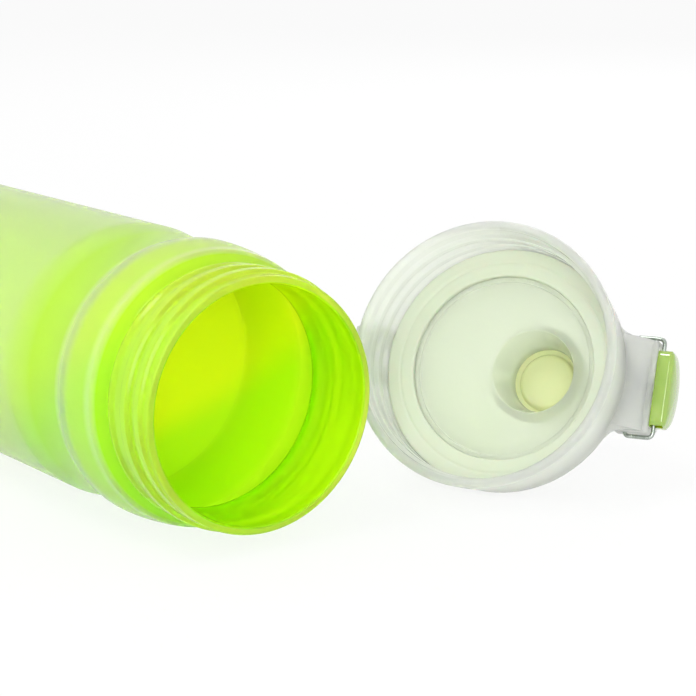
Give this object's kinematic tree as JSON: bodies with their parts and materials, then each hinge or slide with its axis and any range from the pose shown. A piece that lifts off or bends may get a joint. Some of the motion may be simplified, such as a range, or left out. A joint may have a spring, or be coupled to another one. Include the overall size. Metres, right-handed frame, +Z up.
{
  "type": "sports water bottle",
  "caption": "Cylindrical sports water bottle on its side, with its screw cap, flip cover and push button taken off and set down beside its open mouth.",
  "frame": {"origin": "middle of the bottom of the whole part's box, on the floor that the bottle and its lid lie on", "axes": "+X along the bottle towards its mouth, +Z up, +Y from the bottle towards its lid"},
  "size_m": [0.2482, 0.1576, 0.07],
  "materials": {
    "lime_plastic": "translucent lime, glossy inside and lightly frosted outside",
    "frosted_plastic": "translucent greenish white, satin",
    "silicone": "clear to milky silicone",
    "lime_silicone": "pale yellow-green silicone, satin",
    "lime_button": "lime, glossy",
    "steel": "bright stainless wire"
  },
  "bodies": {
    "bottle": {"bottle_body": "lime_plastic"},
    "cap": {"screw_cap": "frosted_plastic", "cap_gasket": "silicone", "hinge_pin": "steel", "cover_spring": "steel", "button_spring": "steel", "button_wire_upper": "steel", "button_wire_lower": "steel"},
    "cover": {"flip_cover": "frosted_plastic", "spout_seal": "lime_silicone"},
    "button": {"push_button": "lime_button"}
  },
  "joints": [
    {"name": "cap_lift", "type": "slide", "parent": "bottle", "child": "cap", "axis": [0, 0, 1], "range_m": [0, 0.12]},
    {"name": "cover_hinge", "type": "hinge", "parent": "cap", "child": "cover", "pos_m": [0.05266, 0.01958, 0.03053], "axis": [-0.2173, 0.3438, 0.9135], "range_deg": [0, 110], "deforming": ["cover_spring"]},
    {"name": "button_press", "type": "slide", "parent": "cap", "child": "button", "axis": [-0.8453, -0.5344, 0], "range_m": [0, 0.0015], "stiffness_N_per_m": 400, "springref_m": -0.002, "deforming": ["button_spring"]}
  ]
}
